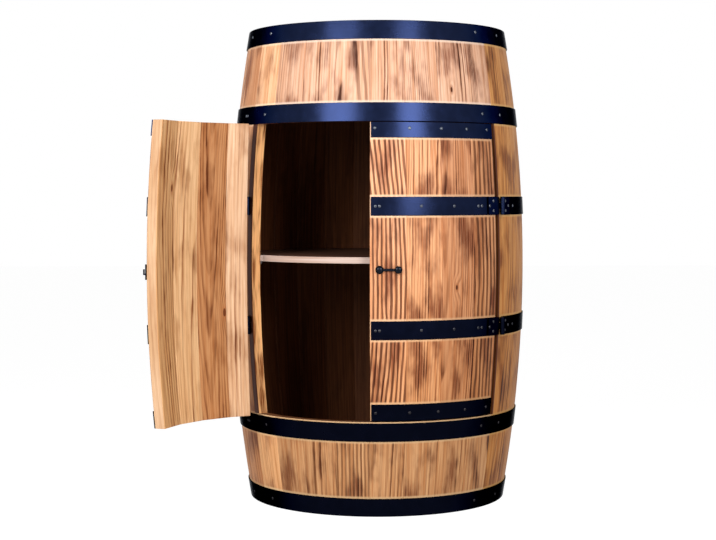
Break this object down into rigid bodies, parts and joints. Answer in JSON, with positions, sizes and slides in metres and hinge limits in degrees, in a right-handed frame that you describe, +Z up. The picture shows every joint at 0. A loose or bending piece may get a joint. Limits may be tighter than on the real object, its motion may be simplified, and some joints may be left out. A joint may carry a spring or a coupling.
{
  "type": "barrel bar cabinet",
  "caption": "Upright wooden barrel with a pair of curved doors in its side, a shelf behind them, iron hoops, strap hinges and a turning latch.",
  "frame": {"origin": "on the floor, on the barrel's own axis", "axes": "+Z up along the barrel's axis, the doorway faces -Y, +X to the right as seen from the front"},
  "size_m": [0.6222, 0.5784, 0.8],
  "materials": {
    "flamed_pine": "scorched and brushed, satin varnish",
    "head_pine": "scorched and brushed, satin varnish",
    "dark_stained_pine": "dark stain with a bare front edge",
    "black_iron": "black satin enamel",
    "zinc_steel": "zinc plated"
  },
  "bodies": {
    "barrel": {"stave_01": "flamed_pine", "stave_02": "flamed_pine", "stave_03": "flamed_pine", "stave_04": "flamed_pine", "stave_05": "flamed_pine", "stave_06": "flamed_pine", "stave_07": "flamed_pine", "stave_08": "flamed_pine", "stave_09": "flamed_pine", "stave_10": "flamed_pine", "stave_11": "flamed_pine", "stave_12": "flamed_pine", "stave_13": "flamed_pine", "stave_14": "flamed_pine", "stave_15": "flamed_pine", "stave_16": "flamed_pine", "stave_17": "flamed_pine", "stave_18": "flamed_pine", "left_jamb_stave": "flamed_pine", "header_staves": "flamed_pine", "sill_staves": "flamed_pine", "top_head": "head_pine", "bottom_head": "head_pine", "bottom_chime_hoop": "black_iron", "lower_quarter_hoop": "black_iron", "lower_bilge_hoop": "black_iron", "upper_bilge_hoop": "black_iron", "upper_quarter_hoop": "black_iron", "top_chime_hoop": "black_iron", "right_jamb_hinge_leaves": "black_iron", "left_jamb_hinge_leaves": "black_iron", "hinge_pins": "black_iron", "shelf": "dark_stained_pine", "shelf_pins": "zinc_steel"},
    "right_door": {"right_door_stave_1": "flamed_pine", "right_door_stave_2": "flamed_pine", "right_door_stave_3": "flamed_pine", "right_door_stave_4": "flamed_pine", "right_door_top_strap": "black_iron", "right_door_upper_bilge_strap": "black_iron", "right_door_lower_bilge_strap": "black_iron", "right_door_bottom_strap": "black_iron", "right_door_hinge_leaves": "black_iron", "latch_pivot": "black_iron"},
    "left_door": {"left_door_stave_1": "flamed_pine", "left_door_stave_2": "flamed_pine", "left_door_stave_3": "flamed_pine", "left_door_stave_4": "flamed_pine", "left_door_top_strap": "black_iron", "left_door_upper_bilge_strap": "black_iron", "left_door_lower_bilge_strap": "black_iron", "left_door_bottom_strap": "black_iron", "left_door_hinge_leaves": "black_iron", "latch_keeper": "black_iron"},
    "latch_arm": {"latch_arm": "black_iron"}
  },
  "joints": [
    {"name": "right_door_hinge", "type": "hinge", "parent": "barrel", "child": "right_door", "pos_m": [0.2041, -0.15831, 0.4], "axis": [0, 0, 1], "range_deg": [0, 165]},
    {"name": "left_door_hinge", "type": "hinge", "parent": "barrel", "child": "left_door", "pos_m": [-0.21638, -0.14106, 0.4], "axis": [0, 0, -1], "range_deg": [-100.5, 64.5]},
    {"name": "latch_turn", "type": "hinge", "parent": "right_door", "child": "latch_arm", "pos_m": [-0.00066, -0.25355, 0.402], "axis": [-0.0091, -1, 0], "range_deg": [-90, 180]}
  ]
}
